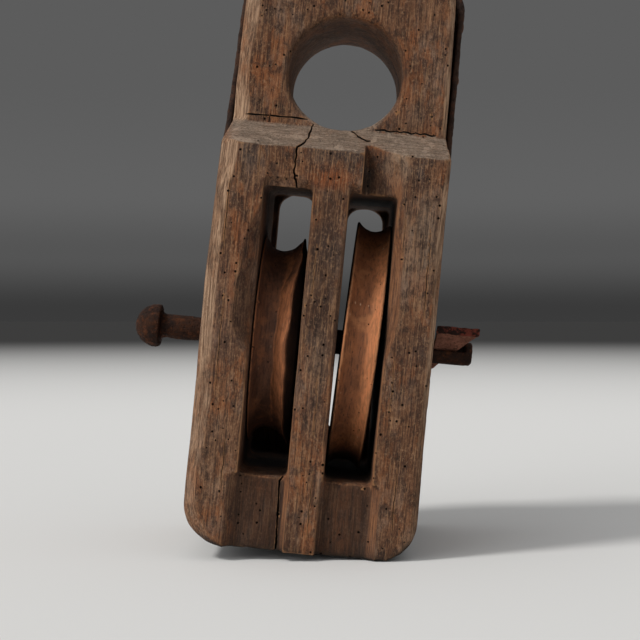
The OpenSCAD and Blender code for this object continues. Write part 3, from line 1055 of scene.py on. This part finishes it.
def build_right_sheave():
    sheave = fine_copy("right_sheave", "worn_right_sheave", voxel=1.4 * MM, rounds=4)
    push(sheave, sheave_relief(seed=57))
    cut_worm_holes(sheave, off_flat_faces, count=60, seed=14, radius=mm(0.5, 0.8))
    wood = sheave_wood("right_wood", deep=rgb(108, 64, 37), light=rgb(136, 82, 48),
                       worn=rgb(160, 106, 68), scratches=0.7)
    dress(sheave, "right_wheel", wood, "right_sheave")


def build_pin():
    pin = fine_copy("sheave_pin", "forged_pin", voxel=0.9 * MM, rounds=3)
    soften(pin, worn_ends(read_points(pin.data)), rounds=50)
    push(pin, pin_relief)
    rust = rusty_iron("pin_iron", base=rgb(33, 21, 16), light=rgb(52, 31, 20), crust=rgb(84, 48, 28))
    dress(pin, "pin", rust, "sheave_pin")


def build_wedge():
    wedge = fine_copy("forelock_wedge", "hammered_wedge", voxel=0.6 * MM, rounds=2)
    push(wedge, hammered_head)
    push(wedge, iron_relief(seed=83, lumps=0.4, pits=0.2))
    top = PIN_Z * WEDGE_UP[2] + WEDGE_TOP
    rust = rusty_iron("wedge_iron", base=rgb(112, 73, 58), light=rgb(140, 93, 75),
                      crust=rgb(96, 64, 52), head=(top - 2.6 * MM, top - 1.4 * MM))
    dress(wedge, "wedge", rust, "forelock_wedge")


def build_strap():
    strap = fine_copy("iron_strap", "forged_strap", voxel=1.4 * MM, rounds=3)
    push(strap, iron_relief(seed=91, lumps=0.7, pits=0.3))
    rust = rusty_iron("strap_iron", base=rgb(50, 38, 33), light=rgb(66, 49, 40), crust=rgb(84, 54, 39))
    dress(strap, "shell", rust, "iron_strap")


def build_nails():
    rust = rusty_iron("nail_iron", base=rgb(70, 44, 31), light=rgb(92, 58, 38), crust=rgb(116, 70, 42))
    for node, seed in (("leg_nails", 95), ("crown_nails", 97)):
        nails = fine_copy(node, "strap_" + node, voxel=0.8 * MM, rounds=1)
        push(nails, iron_relief(seed, lumps=0.3, pits=0.2))
        dress(nails, "shell", rust, node)


# ---------------------------------------------------------------- camera, floor and light

LENS = 85.0                       # in mm, as is SENSOR
SENSOR = 36.0
FAR_CLIP = 100.0
LEAN = math.radians(5.3)          # the block leans to the right, seen from the camera
CAMERA_DISTANCE = 1.566           # from the block's mid-depth
CAMERA_AT = Vector((x_at(16.3), -CAMERA_DISTANCE, z_at(37)))
LOOK_LEFT = math.radians(0.64)
LOOK_DOWN = math.radians(0.53)
UP = Vector((-math.sin(LEAN), 0, math.cos(LEAN)))
RIGHT = Vector((math.cos(LEAN), 0, math.sin(LEAN)))
KEY_FROM = (RIGHT * -0.54 + UP * 0.75 + Vector((0, -0.33, 0))).normalized()
SIDE_FROM = (RIGHT * -0.62 + UP * 0.3 + Vector((0, -0.72, 0))).normalized()
SOFT_FROM = (RIGHT * -0.4 + UP * 0.8 + Vector((0, -0.35, 0))).normalized()
FLOOR_REACH = 22.0                # from the middle of the floor to its sides
FLOOR_GAP = 0.5 * MM              # between the floor and the block's lowest corner
FLOOR_FADE = (1.5, 9.5)           # where the floor's painted shade, for light falling off far away, starts, and where it is darkest
FLOOR_NEAR = rgb(222, 222, 221)
FLOOR_FAR = rgb(64, 64, 64)
SOFT_SPAN = (-0.6, 1.0)           # cosines of the angles from SOFT_FROM where it is weakest and strongest
SOFT_STRENGTH = (0.08, 0.62)      # its strength there
BACKDROP_SPAN = (-0.05, 0.15)     # sines of the angles above the floor that the backdrop's stops span
# Grey levels of the backdrop, by place in that span.
BACKDROP_STOPS = ((0.0, 204), (0.13, 60), (0.24, 58), (0.42, 84), (0.62, 96), (1.0, 92))


def camera():
    ahead = (Vector((0, 1, 0)) - RIGHT * math.tan(LOOK_LEFT) - UP * math.tan(LOOK_DOWN)).normalized()
    right = ahead.cross(UP).normalized()
    up = right.cross(ahead)
    turn = Matrix((right, up, -ahead)).transposed().to_4x4()
    data = bpy.data.cameras.new("camera")
    data.lens = LENS
    data.sensor_width = SENSOR
    data.clip_end = FAR_CLIP
    cam = bpy.data.objects.new("camera", data)
    cam.matrix_world = Matrix.Translation(CAMERA_AT) @ turn
    bpy.context.scene.collection.objects.link(cam)
    bpy.context.scene.camera = cam


def floor_height():
    """Where the floor is along UP, so that the block's lowest corner rests on it."""
    points = read_points(frame["nodes"]["block_body"].data)
    return float((points @ np.array(UP)).min()) - FLOOR_GAP


def floor():
    """A large pale floor, level in the picture, with painted shade that darkens it into the backdrop far
    away, where the studio's light falls off.
    """
    level = floor_height()
    verts = [RIGHT * (sx * FLOOR_REACH) + Vector((0, sy * FLOOR_REACH, 0)) + UP * level
             for sx, sy in ((-1, -1), (1, -1), (1, 1), (-1, 1))]
    obj = mesh_object("floor", verts, [(0, 1, 2, 3)])
    look = Look("floor")
    away = look.vector("LENGTH", look.where).outputs["Value"]
    # painted shade: the floor's colour darkens with distance from the middle
    colour = look.mix(look.span(away, *FLOOR_FADE), FLOOR_NEAR, FLOOR_FAR)
    obj.data.materials.append(look.finish(colour, 1.0, 0.0, 0.4 * MM, gloss=0.0))


def backdrop(sky):
    """The shader of the graded grey backdrop that the camera sees."""
    grade = sky.add("ShaderNodeValToRGB")
    shades = grade.color_ramp
    shades.interpolation = "EASE"
    while len(shades.elements) < len(BACKDROP_STOPS):
        shades.elements.new(0.5)
    for element, (place, value) in zip(shades.elements, BACKDROP_STOPS):
        element.position = place
        element.color = rgb(value, value, value)
    sky.feed(grade.inputs[0], sky.span(sky.along(UP), *BACKDROP_SPAN, interpolation="LINEAR"))
    seen = sky.add("ShaderNodeBackground")
    sky.feed(seen.inputs["Color"], grade.outputs[0])
    return seen.outputs[0]


def soft_light(sky):
    """The shader of the even light that falls on the object, stronger from SOFT_FROM."""
    fill = sky.add("ShaderNodeBackground")
    fill.inputs["Color"].default_value = (1, 1, 1, 1)
    strength = sky.span(sky.along(SOFT_FROM), *SOFT_SPAN, *SOFT_STRENGTH, "LINEAR")
    sky.feed(fill.inputs["Strength"], strength)
    return fill.outputs[0]


def world():
    """A grey studio: a backdrop for the camera and soft light for the object."""
    studio = bpy.data.worlds.new("studio")
    bpy.context.scene.world = studio
    sky = Graph(studio, "Generated")
    either = sky.add("ShaderNodeMixShader")
    sky.feed(either.inputs[0], sky.add("ShaderNodeLightPath").outputs["Is Camera Ray"])
    sky.feed(either.inputs[1], soft_light(sky))
    sky.feed(either.inputs[2], backdrop(sky))
    out = sky.add("ShaderNodeOutputWorld")
    sky.feed(out.inputs[0], either.outputs[0])


def sun(name, source, power, softness, tint=(1, 1, 1)):
    """Sunlight from a direction. softness is the sun's width in degrees."""
    data = bpy.data.lights.new(name, "SUN")
    data.energy = power
    data.angle = math.radians(softness)
    data.color = tint
    obj = bpy.data.objects.new(name, data)
    obj.rotation_euler = source.to_track_quat("Z", "Y").to_euler()
    bpy.context.scene.collection.objects.link(obj)


def lights():
    """A soft key light from high on the left and a weaker, softer one from the left and in front."""
    sun("key", KEY_FROM, power=1.6, softness=11, tint=(1.0, 0.98, 0.95))
    sun("side", SIDE_FROM, power=0.55, softness=35)


build_block()
build_left_sheave()
build_right_sheave()
build_pin()
build_wedge()
build_strap()
build_nails()
camera()
floor()
world()
lights()
bpy.context.scene.view_settings.view_transform = "Standard"
